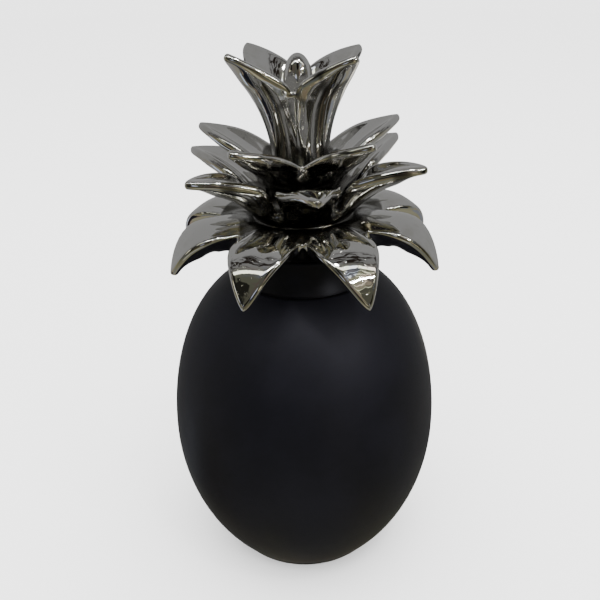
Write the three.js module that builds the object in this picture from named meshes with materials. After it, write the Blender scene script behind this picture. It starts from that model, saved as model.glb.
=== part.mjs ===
// A table ornament in the shape of a pineapple: a smooth egg of black ceramic with a short
// neck, and a plated crown of leaves that stands on the neck's flat top.
// Millimetres, +Z up, the origin in the middle of the flat underside, front towards -Y.
import * as THREE from 'three';

// Driving dimensions of the egg
const eggRadius = 78.6;
const eggWidestHeight = 85;
const eggLowerReach = 108.6; // depth of the whole lower half, which the underside cuts short
const eggUpperReach = 101.2; // height of the whole upper half, which the neck cuts short
const eggLowerFullness = 1.15; // exponent: 1 is an ellipse, less is fuller
const eggUpperFullness = 0.7;
const undersideRounding = 3; // of the edge between the flat underside and the side

// Driving dimensions of the neck, which springs from the shoulder inside a small ledge
const shoulderRadius = 36.5;
const shoulderLedge = 1.2;
const neckWaistRadius = 30.5;
const neckHeight = 17;
const neckFlare = 2.4; // exponent: how quickly the neck's foot narrows to the waist

// Driving dimensions of the crown's underside and lean
const crownRootChamfer = 0.6;
const crownLean = 1.5; // degrees, to the left as seen from the front
const leanPivotHeight = 39; // above the neck, where the lean leaves the crown on the axis

// The tiers of leaves, from the lowest. A rib is the middle line of a leaf: four points of a
// curve, each a radius and a height above the neck. Neighbours grow as one from the root and
// part at the notch. A slit, given by half its width and by its splay, which is how quickly it
// widens, leads on from there to the fork, where each leaf takes its own outline. Notch and
// fork are shares of the rib's length. Swell is how wide a leaf is past the fork, cup the
// hollow of its upper side and ridge the hump of it before the fork, both per millimetre of
// width, and belly the thickening of its underside. Quirks are what the maker's hand did to
// single leaves: each droops at its tip by some millimetres, sways sideways, arches up halfway
// to its tip, is cupped more or less than the rest and is narrower by some share.
const skirt = {
  leaves: 8,
  turn: -0.6,
  rib: [[30, 13], [44, 19.5], [63.5, 27], [74.5, -7]],
  notch: 0.21,
  slit: 2.6,
  splay: 0.3,
  fork: 0.36,
  swell: 15,
  cup: 0.003,
  ridge: 0.014,
  rimThickness: 4.6,
  notchThickness: 1.8,
  rootThickness: 11,
  belly: 12.5,
  rootBelly: 0.45,
  tipBelly: 0.4,
  rootRound: 0.5,
  quirks: { 0: { droop: 2, sway: 2.5 }, 6: { droop: -2 }, 2: { droop: -2 }, 5: { droop: -2 } },
};
const lowerBowl = {
  leaves: 6,
  turn: -24.7,
  rib: [[23.5, 20], [32, 34], [48, 46], [68.4, 47]],
  notch: 0.1,
  slit: 1.6,
  splay: 0,
  fork: 0.34,
  swell: 18.5,
  cup: 0.024,
  ridge: 0,
  rimThickness: 4.6,
  notchThickness: 3,
  rootThickness: 8,
  belly: 3,
  rootBelly: 0,
  tipBelly: 1,
  rootRound: 0.5,
  quirks: { 0: { droop: 2.5, sway: 1.2, arch: 1.6, cup: -0.2, width: 0.95 }, 2: { droop: -1 } },
};
const upperBowl = {
  leaves: 5,
  turn: 1.2,
  rib: [[17, 37], [26, 46], [41, 57.5], [56.8, 63.5]],
  notch: 0.26,
  slit: 0.7,
  splay: 0.5,
  fork: 0.3,
  swell: 20,
  cup: 0.029,
  ridge: 0,
  rimThickness: 4.2,
  notchThickness: 3,
  rootThickness: 8,
  belly: 2,
  rootBelly: 0,
  tipBelly: 1,
  rootRound: 0.5,
  quirks: { 0: { droop: -0.5 }, 4: { droop: 0.5 } },
};
const tuft = {
  leaves: 4,
  turn: -5.3,
  rib: [[12.8, 43], [12.8, 70], [18.5, 88.5], [42.7, 101.5]],
  notch: 0.59,
  slit: 0.8,
  splay: 0,
  fork: 0.6,
  swell: 17,
  cup: 0.024,
  ridge: 0,
  rimThickness: 4,
  notchThickness: 3,
  rootThickness: 6,
  belly: 2.5,
  rootBelly: 0,
  tipBelly: 1,
  rootRound: 1,
  quirks: { 3: { droop: -2.5 }, 1: { droop: 2.5, sway: -1 } },
};
const tiers = [skirt, lowerBowl, upperBowl, tuft];

// Driving dimensions of the bud inside the tuft, heights above the neck
const budRootRadius = 8.5;
const budRadius = 7.6;
const budRootHeight = 43;
const budShoulderHeight = 87;
const budTopHeight = 100.6;

// Shared shaping of every leaf
const rimInset = 3; // how far in from the edge the rounded rim begins
const rimFullness = 2.6; // exponent of the rim's rounding, 2 is a half circle
const notchFrom = 0.5; // share of the way to the seam's column where the rim begins to thin
const notchFull = 0.85; // and where it is as thin as in the notch
const tipBluntness = 0.65; // exponent: 0.5 is a round tip, 1 a sharp one
const bellyFade = 16; // distance over which the belly thins out towards the tip
const wallBlend = 3; // how softly a slit's wall runs on into a leaf's free outline
const widthSpread = 2.5; // exponent: how late the columns part towards a leaf's own outline
const quirksFull = 0.5; // share of the way from the fork to the tip where quirks are at full

// How finely the solids are faceted
const roundSteps = 48;
const eggSteps = 10;
const neckSteps = 3;
const budSteps = 20;
const domeSteps = 5;
const ribDivisions = 400;
const widthSearches = 24;
const halfLeafColumns = [5, 5, 6, 6];
const leafRows = [6, 5, 5, 7];
const rimRows = [1, 0.35, 0];

// Small steps and limits of the working out
const slopeReach = 0.2; // half the distance over which a surface's slope is taken
const sideStep = 0.001; // half the share of a column over which the edge's direction is taken
const seamHold = 6; // exponent: how soon a row inside the edge lets go of the seam
const leastBend = 0.05;
const leastRadius = 1;
const leastWidth = 0.5;
const sameAzimuth = 1e-6;

const smooth = (share) => THREE.MathUtils.smoothstep(share, 0, 1);
const blend = (from, to, share) => from + (to - from) * share;
const clamp = THREE.MathUtils.clamp;

// The lower of two lengths, rounded off where they come within a blend of each other
function softLower(one, other, blendWidth) {
  const nearness = Math.max(blendWidth - Math.abs(one - other), 0);
  const rounding = blendWidth > 0 ? nearness * nearness / (4 * blendWidth) : 0;
  return Math.min(one, other) - rounding;
}

// The body's outline: an upper and a lower power curve that meet at the widest ring, and the
// neck's flare above them
function bodyOutline() {
  const lowest = Math.asin(eggWidestHeight / eggLowerReach);
  const highest = Math.acos((shoulderRadius / eggRadius) ** (1 / eggUpperFullness));
  const points = [new THREE.Vector2(0, 0)];
  const lowerPoint = (angle) => new THREE.Vector2(
    eggRadius * Math.cos(angle) ** eggLowerFullness,
    eggWidestHeight - eggLowerReach * Math.sin(angle),
  );
  const flat = lowerPoint(lowest).x - undersideRounding;
  points.push(new THREE.Vector2(flat, 0));
  for (let step = 1; step < eggSteps; step += 1) {
    points.push(lowerPoint(lowest * (1 - step / eggSteps)));
  }
  for (let step = 0; step <= eggSteps; step += 1) {
    const angle = highest * step / eggSteps;
    const radius = eggRadius * Math.cos(angle) ** eggUpperFullness;
    points.push(new THREE.Vector2(radius, eggWidestHeight + eggUpperReach * Math.sin(angle)));
  }
  const neckFootHeight = points.at(-1).y;
  const neckFootRadius = shoulderRadius - shoulderLedge;
  for (let step = 0; step <= neckSteps; step += 1) {
    const share = step / neckSteps;
    const radius = blend(neckWaistRadius, neckFootRadius, (1 - share) ** neckFlare);
    points.push(new THREE.Vector2(radius, neckFootHeight + neckHeight * share));
  }
  const seatHeight = neckFootHeight + neckHeight;
  points.push(new THREE.Vector2(0, seatHeight));
  return { points, seatHeight };
}

// The middle line of a leaf in its own upright plane, measured along its length
class Rib {
  constructor(points, base) {
    const corners = points.map(([radius, height]) => new THREE.Vector2(radius, base + height));
    this.curve = new THREE.CubicBezierCurve(...corners);
    this.curve.arcLengthDivisions = ribDivisions;
    this.length = this.curve.getLength();
  }

  // Place and direction at a distance from the root, and straight on before the root
  at(distance) {
    const share = clamp(distance / this.length, 0, 1);
    const along = this.curve.getTangentAt(share);
    const point = this.curve.getPointAt(share);
    point.addScaledVector(along, distance - share * this.length);
    return { radius: point.x, height: point.y, out: along.x, up: along.y };
  }
}

// One tier: leaves round a circle, whose surface is laid out in a grid of columns and rows.
// Across a leaf a column's place is its side: 0 on the rib, -1 and 1 on the seams with the
// neighbours. Along a leaf, distances run on the rib from the root, and widths square to it.
class Tier {
  constructor(shape, base) {
    Object.assign(this, shape);
    this.rib = new Rib(shape.rib, base);
    this.notchDistance = this.rib.length * this.notch;
    this.forkDistance = this.rib.length * this.fork;
    this.sector = 2 * Math.PI / this.leaves;
    this.seamAtNotch = this.seam(1, this.notchDistance);
  }

  // How far a distance is past the fork, 1 at the tip
  pastFork(distance) {
    return (distance - this.forkDistance) / (this.rib.length - this.forkDistance);
  }

  // How far a single leaf's own cup and width have set in: from 0 at the fork to 1
  quirkShare(distance) {
    return smooth(this.pastFork(distance) / quirksFull);
  }

  // How thin and narrow the rim is: 1 on a leaf, less in the notch
  thinning(side) {
    const notched = smooth((Math.abs(side) - notchFrom) / (notchFull - notchFrom));
    return blend(1, this.notchThickness / this.rimThickness, notched);
  }

  // How far a leaf has grown free: 0 at the root, 1 at the fork, or at the notch for its edge
  grown(distance, across) {
    const rib = smooth(distance / this.forkDistance);
    return blend(rib, smooth(distance / this.notchDistance), across * across);
  }

  // How strongly the section curves at a distance: round at the root, then ridged, then cupped
  curl(distance, quirk = {}) {
    const { radius, up } = this.rib.at(distance);
    const round = this.rootRound * Math.max(up, 0) / Math.max(radius, leastRadius);
    const freed = smooth(this.pastFork(distance));
    const cupped = this.cup * blend(1, quirk.cup ?? 1, this.quirkShare(distance));
    const own = cupped - this.ridge * (1 - freed);
    return blend(round, own, smooth(distance / this.forkDistance));
  }

  // Width at which a leaf's middle surface meets the upright plane of a column
  seam(side, distance) {
    const { radius, up } = this.rib.at(distance);
    const slope = Math.tan(Math.abs(side) * this.sector / 2);
    const bend = Math.max(1 + 4 * this.curl(distance) * up * slope * slope * radius, leastBend);
    return 2 * radius * slope / (1 + Math.sqrt(bend));
  }

  // The edge of the leaf: distance and width for a column, the tip at side 0
  edge(side) {
    const share = smooth(Math.abs(side));
    const reach = this.rib.length - this.notchDistance + this.slit;
    const arched = Math.cbrt((reach * (1 - share)) ** 3 + this.slit ** 3);
    const distance = this.notchDistance - this.slit + arched;
    const forkReach = this.rib.length - this.forkDistance;
    const below = Math.max(this.rib.length - distance, 0) / forkReach;
    const seamAtFork = this.seam(1, this.forkDistance);
    const free = below ** tipBluntness * blend(this.swell, seamAtFork, below);
    const opening = Math.sqrt(1 - share ** (reach / this.slit));
    const widening = this.slit * opening + this.splay * Math.max(distance - this.notchDistance, 0);
    const walled = this.seam(1, distance) - widening;
    return [distance, softLower(free, walled, wallBlend * opening)];
  }

  // A place at some depth inside the edge, measured square to it
  inside(side, depth) {
    const across = Math.abs(side);
    const [distance, width] = this.edge(across);
    const before = this.edge(Math.max(across - sideStep, 0));
    const after = this.edge(Math.min(across + sideStep, 1));
    const run = new THREE.Vector2(after[0] - before[0], after[1] - before[1]).normalize();
    const squareOut = across < sideStep || across > 1 - sideStep;
    const outward = squareOut ? new THREE.Vector2(1, 0) : new THREE.Vector2(run.y, -run.x);
    const seamShift = this.seam(1, this.notchDistance - depth) - this.seamAtNotch;
    const inner = width - depth * outward.y + seamShift * across ** seamHold;
    return [distance - depth * outward.x, Math.max(inner, 0)];
  }

  // Half the width of the leaf at a distance, found between the edge's columns
  halfWidth(distance) {
    if (distance <= this.notchDistance) return this.seam(1, distance);
    let near = 0;
    let far = 1;
    for (let step = 0; step < widthSearches; step += 1) {
      const middle = (near + far) / 2;
      if (this.edge(middle)[0] > distance) near = middle;
      else far = middle;
    }
    return this.edge(near)[1];
  }

  // How far across the leaf a width is, 1 at the edge
  acrossAt(distance, width) {
    return clamp(width / Math.max(this.halfWidth(distance), leastWidth), 0, 1);
  }

  // How far the underside swells below the leaf's even thickness
  bellyAt(distance, across) {
    const grown = this.grown(distance, across);
    const section = 1 - across * across * grown;
    const taper = blend(1, this.tipBelly, clamp(this.pastFork(distance), 0, 1));
    const tipFade = smooth((this.rib.length - rimInset - distance) / bellyFade);
    return this.belly * section * taper * tipFade * blend(this.rootBelly, 1, grown);
  }

  // A point of the middle surface: outwards, sideways and up in the leaf's own plane
  middle(distance, width, quirk) {
    const { radius, height, out, up } = this.rib.at(distance);
    const rise = this.curl(distance, quirk) * width * width;
    const free = clamp(this.pastFork(distance), 0, 1);
    const slim = blend(1, quirk.width ?? 1, this.quirkShare(distance));
    const halfway = (4 * free * (1 - free)) ** 2;
    const lift = (quirk.arch ?? 0) * halfway - (quirk.droop ?? 0) * free ** 2;
    return new THREE.Vector3(
      radius - up * rise,
      width * slim + (quirk.sway ?? 0) * free ** 2,
      height + out * rise + lift,
    );
  }

  // The upper and the lower surface point of one place in the grid
  skins(leaf, side, distance, width, fullness) {
    const quirk = this.quirks[leaf] ?? {};
    const hand = side < 0 ? -1 : 1;
    const place = this.middle(distance, width * hand, quirk);
    const lengthways = this.middle(distance + slopeReach, width * hand, quirk);
    lengthways.sub(this.middle(distance - slopeReach, width * hand, quirk));
    const sideways = this.middle(distance, width * hand + slopeReach, quirk);
    sideways.sub(this.middle(distance, width * hand - slopeReach, quirk));
    const azimuth = THREE.MathUtils.degToRad(this.turn) + (leaf + 0.5) * this.sector;
    const frame = new THREE.Matrix4().makeBasis(
      new THREE.Vector3(Math.sin(azimuth), -Math.cos(azimuth), 0),
      new THREE.Vector3(Math.cos(azimuth), Math.sin(azimuth), 0),
      new THREE.Vector3(0, 0, 1),
    );
    const normal = lengthways.cross(sideways).applyMatrix4(frame);
    if (Math.abs(side) === 1) {
      const seamAngle = azimuth + side * this.sector / 2;
      normal.projectOnPlane(new THREE.Vector3(Math.cos(seamAngle), Math.sin(seamAngle), 0));
    }
    normal.normalize();
    place.applyMatrix4(frame);
    const across = this.acrossAt(distance, width);
    const grown = this.grown(distance, across);
    const rim = this.rimThickness * this.thinning(side);
    const half = blend(this.rootThickness, rim, grown) / 2 * fullness;
    const belly = this.bellyAt(distance, across) * fullness ** 2;
    return {
      upper: place.clone().addScaledVector(normal, half),
      lower: place.clone().addScaledVector(normal, -half - belly),
    };
  }

  // Every ring of the tier: out along the underside to the edge, and back along the top
  rings(halfColumns, rows) {
    const rib = this.rib.at(0);
    const lower = [];
    const upper = [];
    const addRow = (spot, fullness) => {
      const below = [];
      const above = [];
      for (let leaf = 0; leaf < this.leaves; leaf += 1) {
        for (let column = 0; column < 2 * halfColumns; column += 1) {
          const side = column / halfColumns - 1;
          const skins = this.skins(leaf, side, ...spot(side), fullness);
          below.push(skins.lower);
          above.push(skins.upper);
        }
      }
      lower.push(below);
      if (fullness > 0) upper.push(above);
    };
    for (let row = 0; row < rows - 1; row += 1) {
      const share = row / (rows - 1);
      addRow((side) => {
        const [endDistance, endWidth] = this.inside(side, rimInset * this.thinning(side));
        const spread = endWidth - this.seam(side, endDistance);
        const dip = rib.radius * (1 - Math.cos(side * this.sector / 2)) * Math.max(rib.out, 0);
        const distance = blend(-dip, endDistance, share);
        return [distance, this.seam(side, distance) + spread * share ** widthSpread];
      }, 1);
    }
    for (const depth of rimRows) {
      const fullness = (1 - (1 - depth) ** rimFullness) ** (1 / rimFullness);
      addRow((side) => this.inside(side, depth * rimInset * this.thinning(side)), fullness);
    }
    const turn = THREE.MathUtils.degToRad(this.turn);
    return [...lower, ...upper.reverse()].map((points) => ({ points, turn }));
  }
}

// A plain round ring at a radius and height
function circle(radius, height, count) {
  const points = [];
  for (let step = 0; step < count; step += 1) {
    const azimuth = 2 * Math.PI * step / count;
    points.push(new THREE.Vector3(radius * Math.sin(azimuth), -radius * Math.cos(azimuth), height));
  }
  return { points, turn: 0 };
}

// Closes a stack of rings into one skin, with a point in the middle of each end. Rings may
// differ in count: between two of them the triangles step on whichever is behind.
function skinOf(rings, bottom, top) {
  const positions = [];
  const faces = [];
  const add = (point) => positions.push(point.x, point.y, point.z) / 3 - 1;
  const laid = rings.map(({ points, turn }) => {
    const step = 2 * Math.PI / points.length;
    const start = Math.ceil(-turn / step - sameAzimuth);
    const numbers = points.map(add);
    return {
      count: points.length,
      number: (place) => numbers[THREE.MathUtils.euclideanModulo(start + place, points.length)],
      azimuth: (place) => turn + (start + place) * step,
    };
  });
  const bottomNumber = add(bottom);
  const topNumber = add(top);
  const first = laid[0];
  const last = laid.at(-1);
  for (let place = 0; place < first.count; place += 1) {
    faces.push(bottomNumber, first.number(place + 1), first.number(place));
  }
  for (let level = 1; level < laid.length; level += 1) {
    const below = laid[level - 1];
    const above = laid[level];
    let low = 0;
    let high = 0;
    while (low < below.count || high < above.count) {
      const lowIsBehind = below.azimuth(low + 1) <= above.azimuth(high + 1) + sameAzimuth;
      if (high === above.count || (low < below.count && lowIsBehind)) {
        faces.push(below.number(low), below.number(low + 1), above.number(high));
        low += 1;
      } else {
        faces.push(below.number(low), above.number(high + 1), above.number(high));
        high += 1;
      }
    }
  }
  for (let place = 0; place < last.count; place += 1) {
    faces.push(last.number(place), last.number(place + 1), topNumber);
  }
  const geometry = new THREE.BufferGeometry();
  geometry.setAttribute('position', new THREE.Float32BufferAttribute(positions, 3));
  geometry.setIndex(faces);
  geometry.computeVertexNormals();
  return geometry;
}

// The whole crown leans a little, about a pivot on the axis
function leaned(ring, pivotHeight) {
  const lean = new THREE.Matrix4().makeTranslation(0, 0, pivotHeight);
  lean.multiply(new THREE.Matrix4().makeRotationY(THREE.MathUtils.degToRad(-crownLean)));
  lean.multiply(new THREE.Matrix4().makeTranslation(0, 0, -pivotHeight));
  return { ...ring, points: ring.points.map((point) => point.applyMatrix4(lean)) };
}

function crownGeometry(seatHeight) {
  const rootRings = [
    circle(neckWaistRadius - crownRootChamfer, seatHeight, roundSteps),
    circle(neckWaistRadius, seatHeight + crownRootChamfer, roundSteps),
  ];
  const leafRings = tiers.flatMap((shape, index) => (
    new Tier(shape, seatHeight).rings(halfLeafColumns[index], leafRows[index])
  ));
  const budRings = [circle(budRootRadius, seatHeight + budRootHeight, budSteps)];
  const domeHeight = budTopHeight - budShoulderHeight;
  for (let step = 0; step < domeSteps; step += 1) {
    const angle = Math.PI / 2 * step / domeSteps;
    const height = seatHeight + budShoulderHeight + domeHeight * Math.sin(angle);
    budRings.push(circle(budRadius * Math.cos(angle), height, budSteps));
  }
  const pivotHeight = seatHeight + leanPivotHeight;
  const upperRings = [...leafRings, ...budRings].map((ring) => leaned(ring, pivotHeight));
  const apex = { points: [new THREE.Vector3(0, 0, seatHeight + budTopHeight)], turn: 0 };
  return skinOf(
    [...rootRings, ...upperRings],
    new THREE.Vector3(0, 0, seatHeight),
    leaned(apex, pivotHeight).points[0],
  );
}

function bodyGeometry(points) {
  const geometry = new THREE.LatheGeometry(points, roundSteps);
  geometry.rotateX(Math.PI / 2);
  return geometry;
}

const outline = bodyOutline();

const body = new THREE.Mesh(
  bodyGeometry(outline.points),
  new THREE.MeshStandardMaterial({ color: 0x17161b, roughness: 0.6, metalness: 0 }),
);
body.name = 'body';

const crown = new THREE.Mesh(
  crownGeometry(outline.seatHeight),
  new THREE.MeshStandardMaterial({ color: 0xc4c4c8, roughness: 0.06, metalness: 1 }),
);
crown.name = 'crown';

const ornament = new THREE.Group();
ornament.add(body, crown);

export default ornament;
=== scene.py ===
# %% [markdown]
# # A pineapple ornament in black and silver
#
# The real object is a table ornament of glazed ceramic. Its body is a smooth egg under a
# matte black glaze. On the egg stands a crown of thick leaves that is plated bright as a
# mirror. This lesson builds both pieces as fine meshes and gives each a finish worked out
# by nodes, so that nothing depends on a picture.
#
# The two solids are loaded first. They fix every place and size, and the fine meshes take
# their place in the same frame, in metres with Z up.

# %% Load the solids
import math
import bpy
import numpy as np
from mathutils import Matrix, Vector


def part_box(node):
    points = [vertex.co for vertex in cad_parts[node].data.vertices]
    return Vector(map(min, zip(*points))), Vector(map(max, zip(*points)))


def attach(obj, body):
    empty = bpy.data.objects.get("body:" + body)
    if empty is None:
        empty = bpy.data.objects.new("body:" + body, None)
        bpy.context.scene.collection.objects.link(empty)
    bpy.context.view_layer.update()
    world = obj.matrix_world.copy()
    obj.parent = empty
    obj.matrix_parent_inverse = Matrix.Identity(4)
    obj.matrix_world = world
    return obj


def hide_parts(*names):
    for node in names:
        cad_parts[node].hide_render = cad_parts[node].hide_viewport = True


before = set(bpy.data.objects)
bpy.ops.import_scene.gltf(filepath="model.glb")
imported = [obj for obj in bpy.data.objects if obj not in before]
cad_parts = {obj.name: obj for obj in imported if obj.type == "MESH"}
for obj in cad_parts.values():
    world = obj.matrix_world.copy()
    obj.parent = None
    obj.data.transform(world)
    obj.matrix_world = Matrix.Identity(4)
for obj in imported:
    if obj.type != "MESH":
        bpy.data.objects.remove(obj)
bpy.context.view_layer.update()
egg_low, egg_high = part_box("body")
crown_low, crown_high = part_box("crown")
MM = 0.001
print("body", [round(v, 4) for v in (egg_high - egg_low)], "m")
print("crown", [round(v, 4) for v in (crown_high - crown_low)], "m")

# %% [markdown]
# ## The camera
#
# A camera could be placed by eye, but a shape this regular gives its own answer. The leaf
# tips lie on circles, and how flat those circles look fixes the height that the camera
# looks from: about 27 degrees above level. How much nearer leaves are enlarged fixes the
# distance. The picture is square, 600 units wide, and one unit of it covers 0.58 mm at
# the object's axis.

# %% Set up the camera
PICTURE_WIDTH = 600
UNIT = 0.58 * MM
CAMERA_DISTANCE = 710 * UNIT
CAMERA_ELEVATION = math.radians(26.7)
CAMERA_ROLL = math.radians(-0.65)
AXIS_IN_PICTURE = 303.05
AIM_HEIGHT = 161.2 * MM
SENSOR = 36.0
NEAREST_SEEN = 0.01

camera_data = bpy.data.cameras.new("camera")
camera_data.sensor_width = SENSOR
camera_data.lens = SENSOR * CAMERA_DISTANCE / UNIT / PICTURE_WIDTH
camera_data.shift_x = (PICTURE_WIDTH / 2 - AXIS_IN_PICTURE) / PICTURE_WIDTH
camera_data.clip_start = NEAREST_SEEN
camera = bpy.data.objects.new("camera", camera_data)
bpy.context.scene.collection.objects.link(camera)
back = Vector((0, -math.cos(CAMERA_ELEVATION), math.sin(CAMERA_ELEVATION)))
tilt = Matrix.Rotation(math.pi / 2 - CAMERA_ELEVATION, 4, "X")
roll = Matrix.Rotation(CAMERA_ROLL, 4, "Z")
place = Matrix.Translation(Vector((0, 0, AIM_HEIGHT)) + back * CAMERA_DISTANCE)
camera.matrix_world = place @ tilt @ roll
bpy.context.scene.camera = camera
print("lens", round(camera_data.lens, 1), "mm at", round(CAMERA_DISTANCE, 3), "m")

# %% [markdown]
# ## A mesh from rings
#
# Both pieces are closed skins over a stack of rings: circles for the egg, and wavy loops
# that run out along a leaf's underside and back over its top for the crown. They could be
# sculpted, or bent from primitives, but rings keep every edge even and every size known.
# Rings with the same count are joined by quads. Where the count changes, triangles step
# along whichever ring is behind, like closing a zip.

# %% Join rings
ANGLE_SLACK = 1e-6


def circle(radius, height, count):
    """A plain ring, counted from the front anticlockwise, and its turn of 0."""
    azimuth = np.arange(count) * 2 * math.pi / count
    points = np.stack([
        radius * np.sin(azimuth), -radius * np.cos(azimuth), np.full(count, height),
    ], axis=1)
    return points, 0.0


class NumberedRing:
    """A ring's point numbers, counted on from its first point past the front."""

    def __init__(self, numbers, turn):
        self.numbers = numbers
        self.count = len(numbers)
        self.turn = turn
        self.step = 2 * math.pi / self.count
        self.start = math.ceil(-turn / self.step - ANGLE_SLACK)

    def point(self, k):
        return int(self.numbers[(self.start + k) % self.count])

    def angle(self, k):
        return self.turn + (self.start + k) * self.step


def zip_rings(below, above):
    """Triangles between two numbered rings."""
    faces = []
    low = high = 0
    while low < below.count or high < above.count:
        behind = below.angle(low + 1) <= above.angle(high + 1) + ANGLE_SLACK
        if high == above.count or (low < below.count and behind):
            faces.append((below.point(low), below.point(low + 1), above.point(high)))
            low += 1
        else:
            faces.append((below.point(low), above.point(high + 1), above.point(high)))
            high += 1
    return faces


zipped = zip_rings(NumberedRing(range(6), 0.0), NumberedRing(range(6, 15), 0.0))
print("rings of 6 and 9 points are joined by", len(zipped), "triangles")

# %% [markdown]
# ## From a stack to a piece
#
# On the real object each piece is one closed skin of clay under its finish. Blender could
# close a loose stack by itself, with a fill or a remesh, but that would move points. So the
# skin is closed here, by a fan of triangles at its bottom and another at its top.

# %% Make a piece
def skin(rings, bottom, top):
    """Vertices and faces of a closed skin over a stack of (points, turn) rings."""
    vertices = np.concatenate([points for points, _ in rings] + [[bottom], [top]])
    starts = np.cumsum([0] + [len(points) for points, _ in rings])
    numbers = [np.arange(a, b) for a, b in zip(starts[:-1], starts[1:])]
    bottom_number, top_number = len(vertices) - 2, len(vertices) - 1
    faces = [(bottom_number, int(b), int(a)) for a, b in zip(numbers[0], np.roll(numbers[0], -1))]
    for level in range(1, len(rings)):
        below, above = numbers[level - 1], numbers[level]
        turn_below, turn_above = rings[level - 1][1], rings[level][1]
        if len(below) == len(above) and turn_below == turn_above:
            quads = np.stack([below, np.roll(below, -1), np.roll(above, -1), above], axis=1)
            faces.extend(map(tuple, quads.tolist()))
        else:
            faces.extend(zip_rings(NumberedRing(below, turn_below), NumberedRing(above, turn_above)))
    faces += [(int(a), int(b), top_number) for a, b in zip(numbers[-1], np.roll(numbers[-1], -1))]
    return vertices, faces


def new_piece(name, vertices, faces):
    """A smooth-shaded object with its place in its mesh."""
    mesh = bpy.data.meshes.new(name)
    mesh.from_pydata(np.asarray(vertices).tolist(), [], faces)
    mesh.validate()
    mesh.shade_smooth()
    piece = bpy.data.objects.new(name, mesh)
    bpy.context.scene.collection.objects.link(piece)
    triangles = sum(len(face.vertices) - 2 for face in mesh.polygons)
    print(name, len(mesh.vertices), "vertices", triangles, "triangles")
    return piece


prism_points, prism_faces = skin([circle(1, 0, 6), circle(1, 1, 6)], (0, 0, 0), (0, 0, 1))
print("two rings of 6 close to a skin of", len(prism_faces), "faces")

# %% [markdown]
# ## The egg's outline
#
# The body was cast in a plaster mould and sponged smooth, so its outline has no corner
# but a soft turn into the flat foot and the groove where the neck springs. A sphere that is
# scaled would be too round at the shoulder. Two power curves that meet at the widest ring
# follow it instead: a power of 1 gives an ellipse, and a lower one a fuller shoulder.

# %% Draw the egg's outline
EGG_RADIUS = egg_high.x
WIDEST_HEIGHT = 85 * MM
LOWER_REACH = 108.6 * MM
UPPER_REACH = 101.2 * MM
LOWER_FULLNESS = 1.15
UPPER_FULLNESS = 0.7
SHOULDER_RADIUS = 36.5 * MM
FOOT_ROUNDING = 5 * MM
FOOT_CORNER_SHARE = 0.4
CURVE_STEPS = 60
FOOT_STEPS = 9


def half_egg(angles, reach, fullness):
    """Radius and height pairs of one power curve, from the widest ring on."""
    return np.stack([
        EGG_RADIUS * np.cos(angles) ** fullness, WIDEST_HEIGHT + reach * np.sin(angles),
    ], axis=1)


def egg_outline():
    """Radius and height pairs from the foot's middle up to the shoulder."""
    lowest = math.asin(WIDEST_HEIGHT / LOWER_REACH)
    highest = math.acos((SHOULDER_RADIUS / EGG_RADIUS) ** (1 / UPPER_FULLNESS))
    lower = half_egg(np.linspace(lowest, 0, CURVE_STEPS), -LOWER_REACH, LOWER_FULLNESS)
    upper = half_egg(np.linspace(0, highest, CURVE_STEPS)[1:], UPPER_REACH, UPPER_FULLNESS)
    lower = lower[lower[:, 1] > FOOT_ROUNDING]
    turn = np.linspace(0, 1, FOOT_STEPS)[:, None]
    corner = np.array([lower[0, 0] - FOOT_ROUNDING * FOOT_CORNER_SHARE, 0])
    flat = corner - [FOOT_ROUNDING, 0]
    foot = (1 - turn) ** 2 * flat + 2 * turn * (1 - turn) * corner + turn ** 2 * lower[0]
    return np.concatenate([[flat / 2], foot[:-1], lower, upper])


egg_side = egg_outline()
print("the shoulder is", round(egg_side[-1, 1] / MM, 1), "mm up")

# %% [markdown]
# ## The neck, and the egg turned
#
# A short neck springs from a fine groove in the shoulder and narrows to a waist that
# carries the crown. It could be a part of its own, but the glaze runs over both, so egg and
# neck are one skin. The whole is a plain turning about the axis, as on a potter's wheel.

# %% Turn the egg
GROOVE_WIDTH = 1.2 * MM
GROOVE_DEPTH = 0.7 * MM
NECK_WAIST_RADIUS = 30.5 * MM
NECK_HEIGHT = 17 * MM
NECK_ROUNDING = 0.6 * MM
FLARE_POWER = 2.4
GROOVE_STEPS = 8
FLARE_STEPS = 20
EGG_STEPS = 240


def neck_outline(shoulder):
    """The groove at the shoulder, the flare up to the waist, and the seat on top."""
    radius, height = shoulder
    turn = np.linspace(0, math.pi, GROOVE_STEPS)[1:-1]
    groove = np.stack([
        radius - GROOVE_WIDTH * (1 - np.cos(turn)) / 2, height - GROOVE_DEPTH * np.sin(turn),
    ], axis=1)
    neck_foot = radius - GROOVE_WIDTH
    share = np.linspace(0, 1, FLARE_STEPS)
    flare = np.stack([
        NECK_WAIST_RADIUS + (neck_foot - NECK_WAIST_RADIUS) * (1 - share) ** FLARE_POWER,
        height + (NECK_HEIGHT - NECK_ROUNDING) * share,
    ], axis=1)
    top = height + NECK_HEIGHT
    rim = [(NECK_WAIST_RADIUS - NECK_ROUNDING, top), (NECK_WAIST_RADIUS / 2, top)]
    return np.concatenate([groove, flare, rim])


body_side = np.concatenate([egg_side, neck_outline(egg_side[-1])])
neck_top = body_side[-1, 1]
egg_rings = [circle(radius, height, EGG_STEPS) for radius, height in body_side]
egg = new_piece("egg", *skin(egg_rings, (0, 0, 0), (0, 0, neck_top)))
print("the neck's top is", round(neck_top / MM, 1), "mm up")

# %% [markdown]
# ## A leaf's rib
#
# Each leaf was modelled as a thick blade, bent along its middle, before the crown was cast.
# That line decides the leaf's pose, so it comes first, as one smooth curve from four
# corners. A Blender curve could hold it, but the leaf also has to ask for the rib's place
# and slope at any distance from the root, which a few lines of interpolation answer.

# %% Bend a rib
RIB_SAMPLES = 800
SLOPE_REACH = 0.3 * MM


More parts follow.
